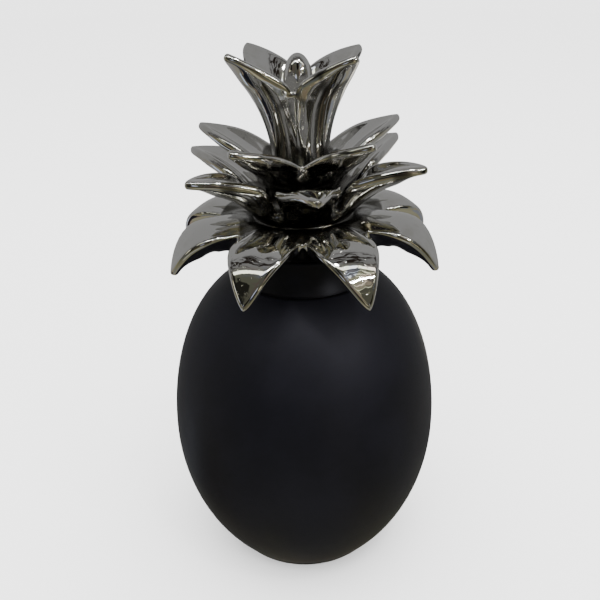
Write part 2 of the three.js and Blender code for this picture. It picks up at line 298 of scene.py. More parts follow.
class Rib:
    """A leaf's middle line, measured along its length from the root."""

    def __init__(self, corners, base):
        share = np.linspace(0, 1, RIB_SAMPLES)[:, None]
        a, b, c, d = (np.array([radius, base / MM + height]) * MM for radius, height in corners)
        rest = 1 - share
        self.points = (
            rest ** 3 * a + 3 * rest ** 2 * share * b + 3 * rest * share ** 2 * c + share ** 3 * d
        )
        steps = np.linalg.norm(np.diff(self.points, axis=0), axis=1)
        self.marks = np.concatenate([[0], np.cumsum(steps)])
        self.length = self.marks[-1]

    def at(self, distance):
        """Radius, height and direction, and straight on before the root."""
        held = np.clip(distance, 0, self.length)
        start = np.clip(distance - SLOPE_REACH, 0, self.length - 2 * SLOPE_REACH)
        radius, height, first_r, first_z, last_r, last_z = (
            np.interp(where, self.marks, self.points[:, axis])
            for where in (held, start, start + 2 * SLOPE_REACH) for axis in (0, 1)
        )
        run = np.hypot(last_r - first_r, last_z - first_z)
        out, up = (last_r - first_r) / run, (last_z - first_z) / run
        return radius + (distance - held) * out, height + (distance - held) * up, out, up


def smooth(share):
    """Eases from 0 to 1."""
    share = np.clip(share, 0, 1)
    return share * share * (3 - 2 * share)


def mix(start, end, share):
    """Part of the way from one value to another."""
    return start + (end - start) * share


print("a quarter of the way, eased, is", float(smooth(0.25)))

# %% [markdown]
# ## A leaf's outline
#
# Each tier is one skin: its leaves grow as a ring from the stem and part at the notches.
# Sculpting them by hand would give uneven rims, so a tier is laid out as a grid. Columns
# spread from a leaf's rib to the seam with its neighbour, and `side` runs over them from
# -1 to 1. Beyond the fork a leaf has its own pointed outline. Between notch and fork its
# edge runs beside the seam, as one wall of a narrow slit.

# %% Where a leaf's edge runs
EDGE_SAMPLES = 400
EDGE_STEP = 0.001
TIP_BLUNTNESS = 0.65
WALL_BLEND = 3 * MM
NOTCH_FROM = 0.5
NOTCH_FULL = 0.85
NOTCH_SHIFT_POWER = 6
QUIRKS_FULL = 0.5
LEAST_RADIUS = 1 * MM
LEAST_WIDTH = 0.5 * MM
LEAST_BEND = 0.05
NEXT_TO_NOTHING = 1e-12


def soft_lower(one, other, blend):
    """The lower of two lengths, rounded off where they come within a blend of each other."""
    nearness = np.maximum(blend - np.abs(one - other), 0)
    return np.minimum(one, other) - nearness ** 2 / np.maximum(4 * blend, NEXT_TO_NOTHING)


class LeafOutline:
    """The edge and the seams of a tier's leaves, from the tier's measures."""

    def __init__(self, measures, base):
        self.__dict__.update(measures)
        self.rib = Rib(measures["rib"], base)
        self.notch_at = self.rib.length * self.notch
        self.fork_at = self.rib.length * self.fork
        self.sector = 2 * math.pi / self.leaves
        self.seam_at_notch = self.seam(1.0, self.notch_at)
        self.edge_marks = self.edge(np.linspace(0, 1, EDGE_SAMPLES))

    def past_fork(self, distance):
        """0 at the fork and 1 at the tip."""
        return (distance - self.fork_at) / (self.rib.length - self.fork_at)

    def quirk_share(self, distance):
        """How far a single leaf's own cup and width have set in: from 0 at the fork to 1."""
        return smooth(self.past_fork(distance) / QUIRKS_FULL)

    def curl(self, distance, cupping=1.0):
        """How strongly the section curves: round at the root, then cupped."""
        radius, _, _, up = self.rib.at(distance)
        round_part = self.root_round * np.maximum(up, 0) / np.maximum(radius, LEAST_RADIUS)
        freed = smooth(self.past_fork(distance))
        cupped = self.cup * mix(1, cupping, self.quirk_share(distance))
        own = (cupped - self.ridge * (1 - freed)) / MM
        return mix(round_part, own, smooth(distance / self.fork_at))

    def seam(self, side, distance):
        """Width where the middle surface meets a column's upright plane."""
        radius, _, _, up = self.rib.at(distance)
        slope = np.tan(np.abs(side) * self.sector / 2)
        bend = np.maximum(1 + 4 * self.curl(distance) * up * slope ** 2 * radius, LEAST_BEND)
        return 2 * radius * slope / (1 + np.sqrt(bend))

    def edge(self, side):
        """Distance and width of the leaf's edge for a column, the tip at side 0."""
        share = smooth(np.abs(side))
        slit = self.slit * MM
        reach = self.rib.length - self.notch_at + slit
        distance = self.notch_at - slit + np.cbrt((reach * (1 - share)) ** 3 + slit ** 3)
        below = np.maximum(self.rib.length - distance, 0) / (self.rib.length - self.fork_at)
        free = below ** TIP_BLUNTNESS * mix(self.swell * MM, self.seam(1.0, self.fork_at), below)
        opening = np.sqrt(1 - share ** (reach / slit))
        widening = slit * opening + self.splay * np.maximum(distance - self.notch_at, 0)
        walled = self.seam(1.0, distance) - widening
        return distance, soft_lower(free, walled, WALL_BLEND * opening)

    def inside(self, side, depth):
        """A place at some depth inside the edge, measured square to it."""
        across = np.abs(side)
        distance, width = self.edge(across)
        first = self.edge(np.maximum(across - EDGE_STEP, 0))
        last = self.edge(np.minimum(across + EDGE_STEP, 1))
        run, rise = last[0] - first[0], last[1] - first[1]
        length = np.maximum(np.hypot(run, rise), NEXT_TO_NOTHING)
        on_rib = (across < EDGE_STEP) | (across > 1 - EDGE_STEP)
        out_distance = np.where(on_rib, 1, rise / length)
        out_width = np.where(on_rib, 0, -run / length)
        shift = self.seam(1.0, self.notch_at - depth) - self.seam_at_notch
        inner = width - depth * out_width + shift * across ** NOTCH_SHIFT_POWER
        return distance - depth * out_distance, np.maximum(inner, 0)

    def thinning(self, side):
        """How thin and narrow the rim is: 1 on a leaf, less in the notch."""
        notched = smooth((np.abs(side) - NOTCH_FROM) / (NOTCH_FULL - NOTCH_FROM))
        return mix(1, self.notch_thickness / self.rim_thickness, notched)

    def half_width(self, distance):
        """From the rib to the seam or, past the notch, to the leaf's own edge."""
        marks, widths = self.edge_marks
        free = np.interp(distance, marks[::-1], widths[::-1])
        return np.where(distance <= self.notch_at, self.seam(1.0, distance), free)

    def across(self, distance, width):
        """0 on the rib and 1 at the edge."""
        return np.clip(width / np.maximum(self.half_width(distance), LEAST_WIDTH), 0, 1)


print("two equal lengths of 10, blended over 4, give", float(soft_lower(10.0, 10.0, 4.0)))

# %% [markdown]
# ## A leaf's two faces
#
# A cast leaf is thick in the middle, hollow on its upper face and bellied below, and no two
# are quite alike. A flat sheet with a Solidify modifier would be equally thick all over.
# Here both faces are offsets from a middle surface: half the thickness each way, square to
# it, and the belly below. What the maker's hand did to a single leaf is an offset too: it
# droops or sways towards its tip, arches halfway, or is cupped or narrowed differently.

# %% The faces of a leaf
RIM_INSET = 3 * MM
BELLY_FADE = 16 * MM
NORMAL_REACH = 0.2 * MM
QUIRK_KINDS = (("droop", 0, MM), ("sway", 0, MM), ("arch", 0, MM), ("cup", 1, 1), ("width", 1, 1))


class LeafFaces(LeafOutline):
    """The upper and lower face of a tier's leaves."""

    def grown(self, distance, across):
        """From 0 at the root to 1 at the fork, or at the notch for a leaf's edge."""
        return mix(smooth(distance / self.fork_at), smooth(distance / self.notch_at), across ** 2)

    def belly_at(self, distance, width):
        """How far the underside swells below the leaf's even thickness."""
        across = self.across(distance, width)
        grown = self.grown(distance, across)
        taper = mix(1, self.tip_belly, np.clip(self.past_fork(distance), 0, 1))
        fade = smooth((self.rib.length - RIM_INSET - distance) / BELLY_FADE)
        return self.belly * MM * (1 - across ** 2 * grown) * taper * fade * mix(self.root_belly, 1, grown)

    def quirk_values(self, leaf):
        """Every point's own droop, sway, arch, cup and width."""
        return [
            np.array([self.quirks.get(number, {}).get(kind, default) for number in leaf]) * unit
            for kind, default, unit in QUIRK_KINDS
        ]

    def middle(self, distance, width, quirk):
        """The middle surface: outwards, sideways and up in the leaf's own plane."""
        droop, sway, arch, cupping, slimness = quirk
        radius, height, out, up = self.rib.at(distance)
        rise = self.curl(distance, cupping) * width ** 2
        free = np.clip(self.past_fork(distance), 0, 1)
        slim = mix(1, slimness, self.quirk_share(distance))
        halfway = (4 * free * (1 - free)) ** 2
        lift = arch * halfway - droop * free ** 2
        sideways = width * slim + sway * free ** 2
        return np.stack([radius - up * rise, sideways, height + out * rise + lift], -1)

    def plane(self, azimuth):
        """Each leaf's own plane: which way is outwards, sideways and up."""
        zero = np.zeros(len(azimuth))
        return np.stack([
            np.stack([np.sin(azimuth), -np.cos(azimuth), zero], -1),
            np.stack([np.cos(azimuth), np.sin(azimuth), zero], -1),
            np.stack([zero, zero, zero + 1], -1),
        ], axis=1)

    def square_to(self, along, across, azimuth, side):
        """Unit normals from two directions, held in the seam's plane on a seam."""
        normal = np.einsum("ij,ijk->ik", np.cross(along, across), self.plane(azimuth))
        seam = azimuth + side * self.sector / 2
        past_seam = np.stack([np.cos(seam), np.sin(seam), np.zeros(len(seam))], -1)
        on_seam = (np.abs(side) == 1)[:, None]
        normal -= np.where(on_seam, np.sum(normal * past_seam, axis=1, keepdims=True) * past_seam, 0)
        return normal / np.linalg.norm(normal, axis=1, keepdims=True)

    def faces(self, leaf, side, distance, width, fullness):
        """The upper and lower surface points of one row."""
        quirk = self.quirk_values(leaf)
        hand = np.where(side < 0, -1, 1)
        spot = self.middle(distance, width * hand, quirk)
        along = self.middle(distance + NORMAL_REACH, width * hand, quirk)
        along -= self.middle(distance - NORMAL_REACH, width * hand, quirk)
        across = self.middle(distance, width * hand + NORMAL_REACH, quirk)
        across -= self.middle(distance, width * hand - NORMAL_REACH, quirk)
        azimuth = math.radians(self.turn) + (leaf + 0.5) * self.sector
        normal = self.square_to(along, across, azimuth, side)
        spot = np.einsum("ij,ijk->ik", spot, self.plane(azimuth))
        grown = self.grown(distance, self.across(distance, width))
        rim = self.rim_thickness * self.thinning(side)
        half = mix(self.root_thickness, rim, grown) * MM / 2 * fullness
        belly = self.belly_at(distance, width) * fullness ** 2
        return spot + normal * half[:, None], spot - normal * (half + belly)[:, None]


print("a leaf may have its own", ", ".join(kind for kind, _, _ in QUIRK_KINDS))

# %% [markdown]
# ## A tier as a stack of rings
#
# Rows run round the whole tier, from the root out along the undersides to the edge, and
# back along the tops. Glazed slip rounds an edge softly, and a mirror finish shows every
# fault there. A Bevel modifier would round it evenly, but the rim thins out in the notches,
# so it gets its own rows, which follow a full curve. Each row also notes how much painted
# shade it gets: most deep in the crown's hollows, where shade falls.

# %% Rings of a tier
RIM_FULLNESS = 2.6
# How near a leaf's tip, in mm, the painted shade that stays beyond the root fades out.
RIM_CLEAR_OF_SHADE = 9
SPREAD_POWER = 2.5


class Tier(LeafFaces):
    """A ring of leaves as a grid of columns and rows."""

    def columns(self, half_count):
        """Leaf number and side of every column of the tier."""
        side = np.tile(np.arange(2 * half_count) / half_count - 1, self.leaves)
        return np.repeat(np.arange(self.leaves), 2 * half_count), side

    def blade_rows(self, side, rows):
        """Distance, width and fullness of the rows from the root to the rim."""
        end, end_width = self.inside(side, RIM_INSET * self.thinning(side))
        spread = end_width - self.seam(side, end)
        radius, _, out, _ = self.rib.at(0.0)
        dip = radius * (1 - np.cos(side * self.sector / 2)) * max(float(out), 0)
        for share in np.linspace(0, 1, rows)[:-1]:
            distance = mix(-dip, end, share)
            yield distance, self.seam(side, distance) + spread * share ** SPREAD_POWER, 1.0

    def rim_rows(self, side, depths):
        """Distance, width and fullness of the rows that round the rim."""
        inset = RIM_INSET * self.thinning(side)
        for depth in depths:
            fullness = (1 - (1 - depth) ** RIM_FULLNESS) ** (1 / RIM_FULLNESS)
            yield *self.inside(side, depth * inset), fullness

    # Painted shade: the plating is darkened near the root and, by a share, beyond it.
    def recess(self, distance, near, far, beyond):
        """Painted shade on the plating: 1 at the root, then less from near to far mm, and 0 at the rim.
        """
        root = 1 - smooth((distance / MM - near) / (far - near))
        rim = smooth((self.rib.length - distance) / MM / RIM_CLEAR_OF_SHADE)
        return np.maximum(root, beyond * rim)

    def rings(self, half_count, rows, depths):
        """Every ring, out along the underside to the edge and back along the top."""
        leaf, side = self.columns(half_count)
        laid = [*self.blade_rows(side, rows), *self.rim_rows(side, depths)]
        pairs = [self.faces(leaf, side, *row) for row in laid]
        lower = [below for _, below in pairs]
        upper = [above for above, _ in pairs[:-1]]
        # Painted shade for each row, on the undersides and on the tops.
        painted_below = [self.recess(row[0], *self.dark_below) for row in laid]
        painted_above = [self.recess(row[0], *self.dark_above) for row in laid[:-1]]
        rings = [(points, math.radians(self.turn)) for points in lower + upper[::-1]]
        return rings, painted_below + painted_above[::-1]


RIM_STEPS = 9
RIM_DEPTHS = tuple((1 - step / RIM_STEPS) ** 2 for step in range(RIM_STEPS + 1))
print("rows of the rim, as shares of its inset:", [round(depth, 2) for depth in RIM_DEPTHS])

# %% [markdown]
# ## Measures of the four tiers
#
# Four tiers stand on each other: a skirt of eight leaves that droops over the egg's
# shoulder, two bowls of six and five, and a tall tuft of four. Each could be modelled by
# itself, but they differ only in their measures, so each is one list of them.
#
# Lengths are in millimetres. `rib` gives radius and height above the neck's top. `notch` and
# `fork` are shares of the rib's length. `swell` is a leaf's half width, `slit` and `splay`
# part it from its neighbour, and `cup` and `ridge` curve its section, in 1/mm.
# `dark_below` and `dark_above` say from where to where on the rib the
# painted shade on the plating thins out, and how much of it stays beyond. `turn` and the leaf
# numbers of `quirks` count round from the front. The last two lists say how fine each tier's
# grid is.

# %% Measures of the tiers
SKIRT = dict(
    leaves=8, turn=-0.6, rib=[(30, 13), (44, 19.5), (63.5, 27), (74.5, -7)],
    notch=0.21, fork=0.36, slit=2.6, splay=0.3, swell=15, cup=0.003, ridge=0.014, root_round=0.5,
    rim_thickness=4.6, notch_thickness=1.8, root_thickness=11,
    belly=12.5, root_belly=0.45, tip_belly=0.4,
    dark_below=(4, 16, 0), dark_above=(6, 18, 0),
    quirks={0: dict(droop=2, sway=2.5), 6: dict(droop=-2), 2: dict(droop=-2), 5: dict(droop=-2)},
)
LOWER_BOWL = dict(
    leaves=6, turn=-24.7, rib=[(23.5, 20), (32, 34), (48, 46), (68.4, 47)],
    notch=0.1, fork=0.34, slit=1.6, splay=0, swell=18.5, cup=0.024, ridge=0, root_round=0.5,
    rim_thickness=4.6, notch_thickness=3, root_thickness=8,
    belly=3, root_belly=0, tip_belly=1,
    dark_below=(3, 15, 0.33), dark_above=(8, 20, 0),
    quirks={0: dict(droop=2.5, sway=1.2, arch=1.6, cup=-0.2, width=0.95), 2: dict(droop=-1)},
)
UPPER_BOWL = dict(
    leaves=5, turn=1.2, rib=[(17, 37), (26, 46), (41, 57.5), (56.8, 63.5)],
    notch=0.26, fork=0.3, slit=0.7, splay=0.5, swell=20, cup=0.029, ridge=0, root_round=0.5,
    rim_thickness=4.2, notch_thickness=3, root_thickness=8,
    belly=2, root_belly=0, tip_belly=1,
    dark_below=(2, 16, 0.34), dark_above=(6, 18, 0),
    quirks={0: dict(droop=-0.5), 4: dict(droop=0.5)},
)
TUFT = dict(
    leaves=4, turn=-5.3, rib=[(12.8, 43), (12.8, 70), (18.5, 88.5), (42.7, 101.5)],
    notch=0.59, fork=0.6, slit=0.8, splay=0, swell=17, cup=0.024, ridge=0, root_round=1,
    rim_thickness=4, notch_thickness=3, root_thickness=6,
    belly=2.5, root_belly=0, tip_belly=1,
    dark_below=(0, 9, 0.35), dark_above=(20, 44, 0),
    quirks={3: dict(droop=-2.5), 1: dict(droop=2.5, sway=-1)},
)
TIERS = (SKIRT, LOWER_BOWL, UPPER_BOWL, TUFT)
HALF_COLUMNS = (22, 26, 28, 34)
LEAF_ROWS = (28, 26, 26, 34)
tiers = [Tier(measures, neck_top) for measures in TIERS]
print("ribs of", [round(tier.rib.length / MM, 1) for tier in tiers], "mm")

# %% [markdown]
# ## The bud and the crown's foot
#
# A bullet-shaped bud stands in the tuft's cup, and the crown's round foot stands on the neck.
# Both could be primitives that are joined on by a Boolean, but they are plain turnings, so
# their circles go into the same stack, below and above the tiers.

# %% Turn the foot and the bud
ROOT_RADIUS = 30.5 * MM
ROOT_ROUNDING = 0.6 * MM
ROOT_COLUMNS = 240
BUD_ROOT_RADIUS = 8.5 * MM
BUD_RADIUS = 7.6 * MM
BUD_ROOT_HEIGHT = 43 * MM
BUD_SHOULDER_HEIGHT = 87 * MM
BUD_TOP_HEIGHT = 100.6 * MM
BUD_SHADE = 30 * MM
BUD_COLUMNS = 72
BUD_START_SHARE = 0.1
BUD_STALK_STEPS = 8
BUD_DOME_STEPS = 20


def root_rings(seat):
    """The crown's round underside, which stands on the neck."""
    return [
        circle(ROOT_RADIUS - ROOT_ROUNDING, seat, ROOT_COLUMNS),
        circle(ROOT_RADIUS, seat + ROOT_ROUNDING, ROOT_COLUMNS),
    ]


def bud_rings(top):
    """The bud's stalk, which narrows a little, and its dome."""
    rings = [circle(BUD_ROOT_RADIUS, top + BUD_ROOT_HEIGHT, BUD_COLUMNS)]
    for share in np.linspace(BUD_START_SHARE, 1, BUD_STALK_STEPS):
        radius = mix(BUD_ROOT_RADIUS, BUD_RADIUS, smooth(share))
        rings.append(circle(radius, top + mix(BUD_ROOT_HEIGHT, BUD_SHOULDER_HEIGHT, share), BUD_COLUMNS))
    for angle in np.linspace(0, math.pi / 2, BUD_DOME_STEPS)[1:-1]:
        dome = (BUD_TOP_HEIGHT - BUD_SHOULDER_HEIGHT) * math.sin(angle)
        rings.append(circle(BUD_RADIUS * math.cos(angle), top + BUD_SHOULDER_HEIGHT + dome, BUD_COLUMNS))
    return rings


root = root_rings(neck_top)
bud = bud_rings(neck_top)
# Painted shade: the bud darkens towards its root, down in the tuft's cup.
bud_painted_shade = [1 - smooth((points[:, 2] - bud[0][0][0, 2]) / BUD_SHADE) for points, _ in bud]
print("the bud has", len(bud), "rings")

# %% [markdown]
# ## The crown
#
# The crown was glued on a little askew, so everything above its foot leans about a pivot on
# the axis. Turning the object would tilt its foot off the neck as well, so the rings are
# leaned instead. How much painted shade each point gets, most deep in the hollows, goes into
# an attribute of the mesh, where the plating can read it. It could be painted by hand, but a
# formula gives the same each time.

# %% Build the crown
CROWN_LEAN = math.radians(1.5)
LEAN_PIVOT = 39 * MM
pivot_height = neck_top + LEAN_PIVOT


def leaned(points):
    """The crown leans a little to the left, about a pivot on the axis."""
    x, rise = points[:, 0], points[:, 2] - pivot_height
    turned_x = x * math.cos(CROWN_LEAN) - rise * math.sin(CROWN_LEAN)
    turned_z = x * math.sin(CROWN_LEAN) + rise * math.cos(CROWN_LEAN) + pivot_height
    return np.stack([turned_x, points[:, 1], turned_z], axis=1)


upright_rings = []
# Painted shade: full on the crown's foot, then row by row up the tiers.
crown_painted_shade = [np.ones(ROOT_COLUMNS)] * len(root)
for tier, half_count, rows in zip(tiers, HALF_COLUMNS, LEAF_ROWS):
    tier_rings, tier_painted_shade = tier.rings(half_count, rows, RIM_DEPTHS)
    upright_rings += tier_rings
    crown_painted_shade += tier_painted_shade
crown_rings = root + [(leaned(points), turn) for points, turn in upright_rings + bud]
bud_top = leaned(np.array([[0, 0, neck_top + BUD_TOP_HEIGHT]]))[0]
crown = new_piece("leaf_crown", *skin(crown_rings, (0, 0, neck_top), bud_top))
# The painted shade goes into a point attribute that the plating reads.
painted_shade_values = np.concatenate([*crown_painted_shade, *bud_painted_shade, [1, 0]])
painted_shade_layer = crown.data.attributes.new("recess", "FLOAT", "POINT")
painted_shade_layer.data.foreach_set("value", painted_shade_values.astype(np.float32))
print("of the crown's points,", int((painted_shade_values > 0.5).sum()), "lie deep")

# %% [markdown]
# ## Writing finishes as sums
#
# A finish is a little arithmetic over patterns: this much roughness here, a bit less there.
# Math nodes could be wired by hand, but that hides the sum. So one small class makes nodes,
# and another wraps a socket and lets Python's own signs add them.

# %% A socket that can be added and multiplied
class Shade:
    """One material or world, and the nodes made in it."""

    def __init__(self, owner):
        owner.use_nodes = True
        self.tree = owner.node_tree
        self.tree.nodes.clear()

    def node(self, kind, settings=None, inputs=None):
        """A node of any type, its settings first and then its sockets."""
        made = self.tree.nodes.new(kind)
        for key, value in (settings or {}).items():
            if key == "stops":
                set_stops(made.color_ramp, value)
            else:
                setattr(made, key, value)
        for key, value in (inputs or {}).items():
            if isinstance(value, Signal):
                self.tree.links.new(value.socket, made.inputs[key])
            else:
                made.inputs[key].default_value = value
        return made

    def signal(self, kind, output, settings=None, inputs=None):
        return Signal(self, self.node(kind, settings, inputs).outputs[output])

    def show(self, shader, output="ShaderNodeOutputMaterial"):
        """Makes a shader the one that the material or world shows."""
        self.tree.links.new(shader.outputs[0], self.node(output).inputs[0])


def set_stops(ramp, stops):
    """Fills a colour ramp from (place, colour) pairs."""
    while len(ramp.elements) < len(stops):
        ramp.elements.new(1.0)
    for element, (place_on_ramp, colour) in zip(ramp.elements, stops):
        element.position = place_on_ramp
        element.color = colour


class Signal:
    """A number that varies over a surface."""

    def __init__(self, shade, socket):
        self.shade = shade
        self.socket = socket

    def maths(self, operation, *others):
        inputs = dict(enumerate((self, *others)))
        return self.shade.signal("ShaderNodeMath", 0, {"operation": operation}, inputs)

    def __add__(self, other):
        return self.maths("ADD", other)

    def __mul__(self, other):
        return self.maths("MULTIPLY", other)

    def __sub__(self, other):
        return self.maths("SUBTRACT", other)

    def __rsub__(self, other):
        return self * -1.0 + other

    def __pow__(self, other):
        return self.maths("POWER", other)

    __radd__ = __add__
    __rmul__ = __mul__

    def step(self, low, high):
        """Runs from 0 at low to 1 at high, eased."""
        settings = {"interpolation_type": "SMOOTHSTEP"}
        return self.shade.signal("ShaderNodeMapRange", 0, settings, {0: self, 1: low, 2: high})


print("a Signal makes a Math node for each +, -, * and **")

# %% [markdown]
# ## Patterns and materials
#
# Three things recur in every finish: soft cloudy noise, a colour between two others, and a
# place that is squeezed along an axis, which draws the noise out the other way. Each is one
# node behind a short name. A last helper turns a function's values into a material.

# %% Noise, colours and a material
NOISE_MIDDLE = 0.5


def noise(shade, where, scale, detail=2.0, roughness=0.5, distortion=0.0):
    """Soft cloudy noise, about 0.5 on average, with its grain in 1/m."""
    inputs = {"Vector": where, "Scale": scale, "Detail": detail}
    inputs |= {"Roughness": roughness, "Distortion": distortion}
    return shade.signal("ShaderNodeTexNoise", 0, None, inputs)


def squeezed(shade, where, factors):
    """A place with each of its axes multiplied by a factor."""
    return shade.signal("ShaderNodeVectorMath", 0, {"operation": "MULTIPLY"}, {0: where, 1: factors})


def colour_mix(shade, share, start, end, blend="MIX"):
    """A colour between two, which may be links or plain values."""
    inputs = {0: share, 6: start, 7: end}
    return shade.signal("ShaderNodeMix", 2, {"data_type": "RGBA", "blend_type": blend}, inputs)


def axes_of(shade, where):
    """The three numbers of a place or a direction."""
    parts = shade.node("ShaderNodeSeparateXYZ", None, {0: where})
    return [Signal(shade, output) for output in parts.outputs]


def finish(name, piece, build):
    """A material on a piece, from the shader's values that a function works out."""
    material = bpy.data.materials.new(name)
    shade = Shade(material)
    values = build(shade, shade.signal("ShaderNodeTexCoord", "Object"))
    shade.show(shade.node("ShaderNodeBsdfPrincipled", None, values))
    piece.data.materials.append(material)
    print(name, "uses", len(shade.tree.nodes), "nodes")


print("the middle of a noise is", NOISE_MIDDLE)

# %% [markdown]
# ## Matte black glaze
#
# The egg's glaze is close to black with a trace of blue. It isn't dead flat: a cool, soft
# sheen climbs towards the outline, and the sprayed glaze settled a little unevenly. The neck
# is painted blacker, as painted shade under the crown's skirt. Carbon-black paint would be a
# single dark colour, but here noises do the work. A broad one varies the tone and the
# roughness, two finer ones raise the faint orange peel of sprayed glaze, and a few specks are
# duller.

# %% Glaze the egg
BLACK_COOL = (0.0024, 0.0023, 0.0046, 1)
BLACK_WARM = (0.0017, 0.0017, 0.0032, 1)
# Painted shade: the neck, under the crown's skirt, is darkened to this tone.
BLACK_NECK_SHADE = (0.0010, 0.0010, 0.0009, 1)
NECK_FOOT_HEIGHT = neck_top - NECK_HEIGHT
NECK_SHADE_EDGE = 1 * MM
GLAZE_CLOUDS = dict(scale=22.0, detail=3.0)
GLAZE_GRAIN = dict(scale=900.0, detail=2.0)
GLAZE_PEEL = dict(scale=320.0, detail=1.0)
GLAZE_SPECKS = dict(scale=1500.0, detail=0.0)
CLOUD_EDGE = (0.35, 0.65)
SPECK_EDGE = (0.68, 0.78)
PEEL_RELIEF = {"Strength": 0.25, "Distance": 0.12 * MM}
GLAZE_GLOSS = {"IOR": 1.5, "Specular IOR Level": 0.28, "Specular Tint": (0.86, 0.86, 1.0, 1)}


def black_glaze(shade, where):
    clouds = noise(shade, where, **GLAZE_CLOUDS)
    grain = noise(shade, where, **GLAZE_GRAIN)
    peel = noise(shade, where, **GLAZE_PEEL)
    specks = noise(shade, where, **GLAZE_SPECKS).step(*SPECK_EDGE)
    cloud = clouds.step(*CLOUD_EDGE)
    relief = peel * 0.6 + grain * 0.25 + clouds * 2.0
    height = axes_of(shade, where)[2]
    # Painted shade: the glaze is darker from the neck's foot upwards, under the skirt.
    neck_shade = height.step(NECK_FOOT_HEIGHT - NECK_SHADE_EDGE, NECK_FOOT_HEIGHT)
    tone = colour_mix(shade, cloud, BLACK_WARM, BLACK_COOL)
    return GLAZE_GLOSS | {
        "Base Color": colour_mix(shade, neck_shade, tone, BLACK_NECK_SHADE),
        "Roughness": 0.44 + 0.07 * cloud + 0.05 * grain + 0.08 * specks,
        "Normal": shade.signal("ShaderNodeBump", 0, None, PEEL_RELIEF | {"Height": relief}),
    }


finish("matte black glaze", egg, black_glaze)

# %% [markdown]
# ## Silver plating
#
# The crown is plated over glaze, so it is a true mirror: its tone is whatever stands
# around it. A picture of a room could be wrapped round it, but then it would show that room
# from every side. What makes it read as plated ceramic, and not as turned steel, is that
# the glaze beneath is slightly wavy and has a few pin-sized pits, which a slow, low bump
# gives. Metallic stays at 1.
#
# Polish leaves a thin grey film in broad clouds. Deep between the leaves the plating is
# darkened with painted shade, and a share of it stays on beyond, fading out towards the leaf
# tips, so the rims there stay bright. The crown's own `recess` attribute says where,
# and a noise drawn out along the leaves breaks its border into runs, painted dark streaks
# that stand in for reflections.

# %% Plate the crown
SILVER_BRIGHT = (0.59, 0.585, 0.565, 1)
SILVER_FILM = (0.47, 0.46, 0.42, 1)
# The plating's colour where painted shade darkens it.
SILVER_PAINTED_DARK = (0.16, 0.157, 0.145, 1)
DRAWN_UPWARDS = (1.0, 1.0, 0.3)
PLATE_WAVES = dict(scale=62.0, detail=1.5, roughness=0.4)
PLATE_RIPPLE = dict(scale=210.0, detail=1.0)
PLATE_FILM = dict(scale=38.0, detail=4.0, roughness=0.6)
PLATE_PITS = dict(scale=700.0, detail=0.0)
# Noise that breaks the painted shade's border into dark streaks standing in for reflections.
PAINTED_DARK_RUNS = dict(scale=75.0, detail=2.0, roughness=0.5, distortion=0.4)
RUN_LENGTH = 7.0
FILM_EDGE = (0.48, 0.72)
PIT_EDGE = (0.74, 0.80)
PAINTED_DARK_EDGE = (0.38, 0.62)
FILM_SHARE = 0.7
WAVE_RELIEF = {"Strength": 0.8, "Distance": 0.6 * MM}


def silver_plate(shade, where):
    upwards = squeezed(shade, where, DRAWN_UPWARDS)
    waves = noise(shade, upwards, **PLATE_WAVES)
    ripple = noise(shade, where, **PLATE_RIPPLE)
    film = noise(shade, where, **PLATE_FILM).step(*FILM_EDGE)
    pits = noise(shade, where, **PLATE_PITS).step(*PIT_EDGE)
    relief = waves + ripple * 0.10 - pits * 0.06
    # Painted shade from the crown's attribute darkens the silver and roughens it a little.
    recess = shade.signal("ShaderNodeAttribute", 2, {"attribute_name": "recess"})
    # Painted dark streaks, like reflections, run along the leaves at the border of the painted shade.
    runs = noise(shade, upwards, **PAINTED_DARK_RUNS) - NOISE_MIDDLE
    painted_dark = (recess + runs * recess * (1.0 - recess) * RUN_LENGTH).step(*PAINTED_DARK_EDGE)
    silver = colour_mix(shade, film * FILM_SHARE, SILVER_BRIGHT, SILVER_FILM)
    return {
        "Base Color": colour_mix(shade, painted_dark, silver, SILVER_PAINTED_DARK),
        "Metallic": 1.0,
        "Roughness": 0.035 + 0.06 * film + 0.1 * pits + 0.12 * painted_dark,
        "Normal": shade.signal("ShaderNodeBump", 0, None, WAVE_RELIEF | {"Height": relief}),
    }


finish("silver plating", crown, silver_plate)

# %% [markdown]
# ## Putting the pieces in the frame
#
# Nothing on the ornament moves, so both pieces ride on the one body, and each takes the
# place of the solid that has its form.

# %% Ride and replace
for piece, node in ((egg, "body"), (crown, "crown")):
    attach(piece, "root")
    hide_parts(node)
print("both pieces ride on root")

# %% [markdown]
# ## The floor
#
# The ornament stands on a plain, pale surface. A sheet that curves up behind would do, but
# from this height the camera sees only the ground, so a large flat floor is enough. It lies
# a hair below the foot, and mirrors don't see it, because the room that the silver reflects
# is made next.

# %% Floor
FLOOR_SIZE = 24.0
FLOOR_HEIGHT = -0.2 * MM
FLOOR_FINISH = {"Base Color": (0.9, 0.9, 0.9, 1), "Roughness": 0.9, "Specular IOR Level": 0.1}
FLOOR_CORNERS = ((-1, -1), (1, -1), (1, 1), (-1, 1))

floor_mesh = bpy.data.meshes.new("floor")
floor_points = [(x * FLOOR_SIZE / 2, y * FLOOR_SIZE / 2, FLOOR_HEIGHT) for x, y in FLOOR_CORNERS]
floor_mesh.from_pydata(floor_points, [], [(0, 1, 2, 3)])
floor = bpy.data.objects.new("floor", floor_mesh)
bpy.context.scene.collection.objects.link(floor)
floor_material = bpy.data.materials.new("pale floor")
floor_shade = Shade(floor_material)
floor_shade.show(floor_shade.node("ShaderNodeBsdfPrincipled", None, FLOOR_FINISH))
floor_mesh.materials.append(floor_material)
floor.visible_glossy = False
print("floor", FLOOR_SIZE, "m wide")

